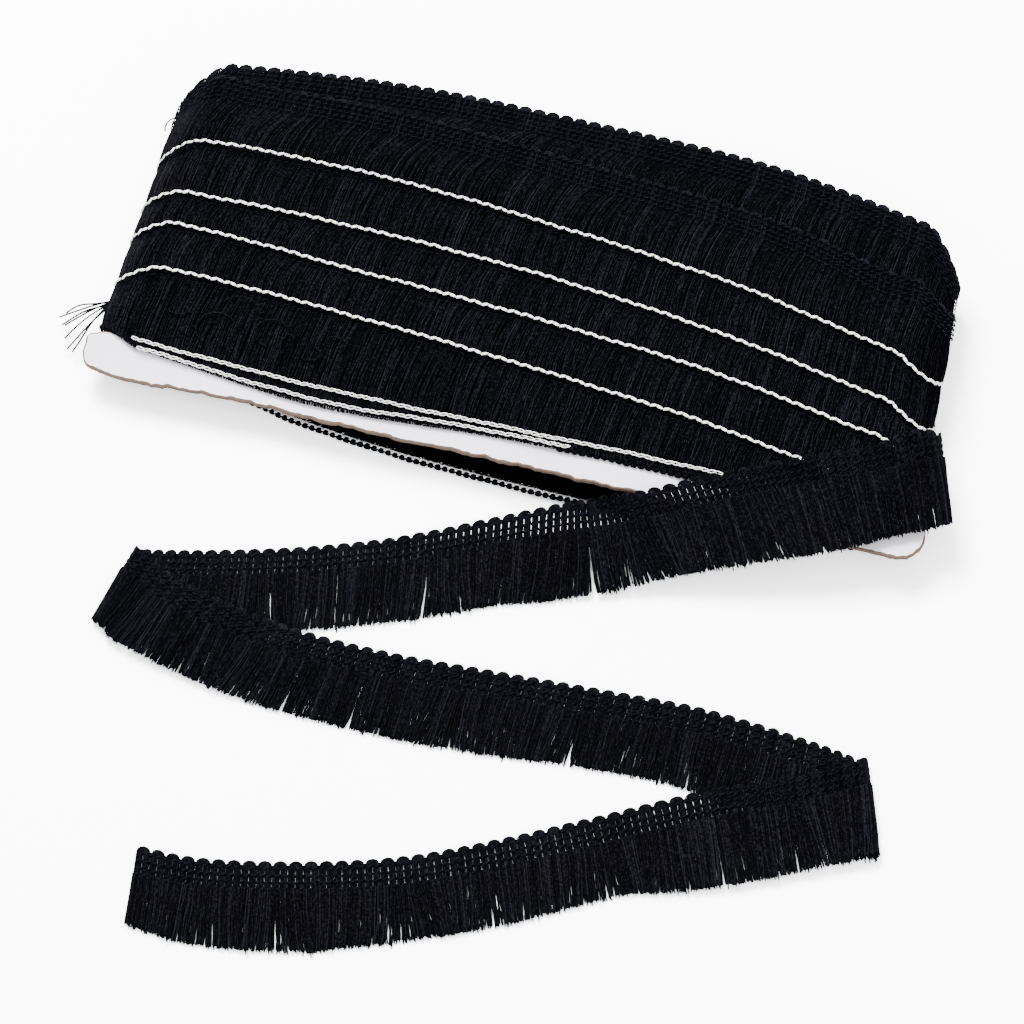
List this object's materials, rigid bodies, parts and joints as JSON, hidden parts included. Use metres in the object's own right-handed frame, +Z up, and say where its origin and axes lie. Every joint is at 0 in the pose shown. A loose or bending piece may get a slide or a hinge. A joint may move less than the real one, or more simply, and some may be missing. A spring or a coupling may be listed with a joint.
{
  "type": "tassel fringe trim wound on a card",
  "caption": "Black tassel fringe trim with a scalloped heading and white chain stitch, wound lengthwise on a white faced card, its free end folded in a zigzag.",
  "frame": {"origin": "middle of the wound trim's flat underside, on the surface that it rests on", "axes": "+X along the card towards the end where the trim leaves the winding, +Y from the fringe side to the heading side, away from the loose end, +Z up"},
  "size_m": [0.3004, 0.3205, 0.0284],
  "materials": {
    "card": "matte",
    "black_yarn": "matte",
    "black_braid": "matte",
    "white_chain": "matte"
  },
  "bodies": {
    "root": {"card": "card", "wound_trim": "black_yarn", "tail_heading": "black_braid", "tail_fringe": "black_yarn"}
  },
  "joints": []
}
